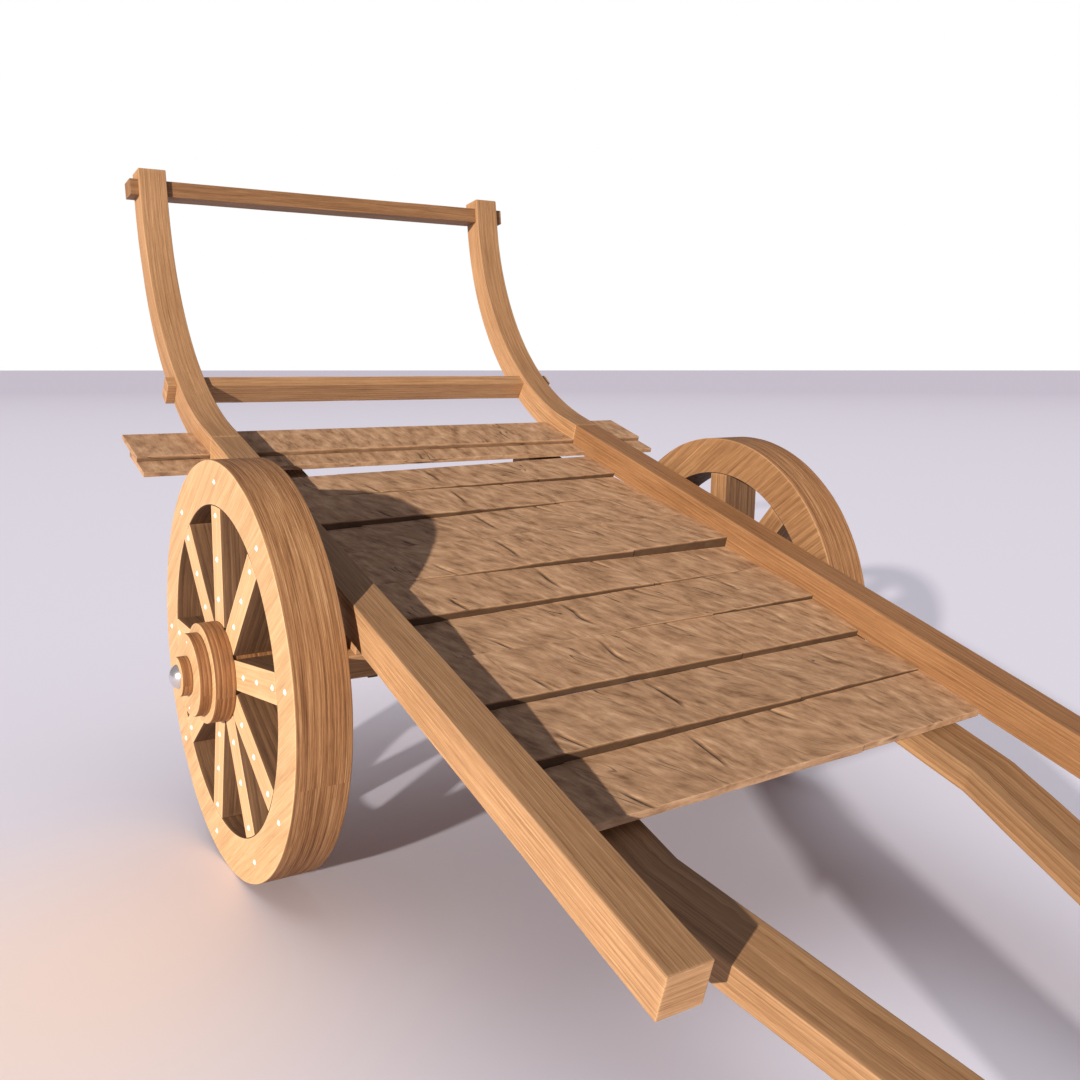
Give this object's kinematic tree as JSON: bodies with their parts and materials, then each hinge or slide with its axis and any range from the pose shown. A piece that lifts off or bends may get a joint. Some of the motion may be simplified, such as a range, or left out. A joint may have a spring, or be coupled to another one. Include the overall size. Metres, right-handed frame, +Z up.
{
  "type": "two-wheeled wooden farm cart",
  "caption": "Wooden two-wheeled farm cart with plank bed, curved rear horns with crossbars, spoked slab wheels and converging pull shafts.",
  "frame": {"origin": "under the middle of the whole cart, on the ground it stands on", "axes": "+Z up, +Y towards the horns at the rear, +X along the axle to the cart's right"},
  "size_m": [1.903, 3.5694, 1.8505],
  "materials": {
    "frame_timber": "planed, oiled",
    "deck_board": "rough sawn, weathered",
    "wheel_wood": "planed pale wood",
    "hub_wood": "turned, oiled",
    "peg_wood": "riven",
    "nail_steel": "bright",
    "dome_steel": "polished",
    "bolt_iron": "black iron"
  },
  "bodies": {
    "cart": {"axle_beam": "frame_timber", "axle_bolts": "bolt_iron", "collar_left": "hub_wood", "collar_right": "hub_wood", "crossbar_pegs": "peg_wood", "deck_plank_1": "deck_board", "deck_plank_2": "deck_board", "deck_plank_3": "deck_board", "deck_plank_4": "deck_board", "deck_plank_5": "deck_board", "deck_plank_6": "deck_board", "deck_plank_7": "deck_board", "deck_plank_8": "deck_board", "deck_plank_9": "deck_board", "dome_bolt_left": "dome_steel", "dome_bolt_right": "dome_steel", "horn_left": "frame_timber", "horn_right": "frame_timber", "lower_crossbar": "frame_timber", "rail_block_left": "frame_timber", "rail_block_right": "frame_timber", "rail_dowels": "peg_wood", "rail_left": "frame_timber", "rail_right": "frame_timber", "rear_board_lower": "deck_board", "rear_board_upper": "deck_board", "shaft_block_left": "frame_timber", "shaft_block_right": "frame_timber", "shaft_left": "frame_timber", "shaft_right": "frame_timber", "upper_crossbar": "frame_timber"},
    "left_wheel": {"hub_cap_left": "hub_wood", "hub_flange_left": "hub_wood", "nave_left": "hub_wood", "spoke_1_left": "wheel_wood", "spoke_2_left": "wheel_wood", "spoke_3_left": "wheel_wood", "spoke_4_left": "wheel_wood", "spoke_5_left": "wheel_wood", "spoke_6_left": "wheel_wood", "spoke_7_left": "wheel_wood", "spoke_8_left": "wheel_wood", "spoke_9_left": "wheel_wood", "wheel_nails_left": "nail_steel", "wheel_rim_left": "wheel_wood"},
    "right_wheel": {"hub_cap_right": "hub_wood", "hub_flange_right": "hub_wood", "nave_right": "hub_wood", "spoke_1_right": "wheel_wood", "spoke_2_right": "wheel_wood", "spoke_3_right": "wheel_wood", "spoke_4_right": "wheel_wood", "spoke_5_right": "wheel_wood", "spoke_6_right": "wheel_wood", "spoke_7_right": "wheel_wood", "spoke_8_right": "wheel_wood", "spoke_9_right": "wheel_wood", "wheel_nails_right": "nail_steel", "wheel_rim_right": "wheel_wood"}
  },
  "joints": [
    {"name": "left_wheel_spin", "type": "hinge", "parent": "cart", "child": "left_wheel", "pos_m": [-0.768, 0.43726, 0.5], "axis": [1, 0, 0], "continuous": true},
    {"name": "right_wheel_spin", "type": "hinge", "parent": "cart", "child": "right_wheel", "pos_m": [0.768, 0.43726, 0.5], "axis": [1, 0, 0], "continuous": true}
  ]
}
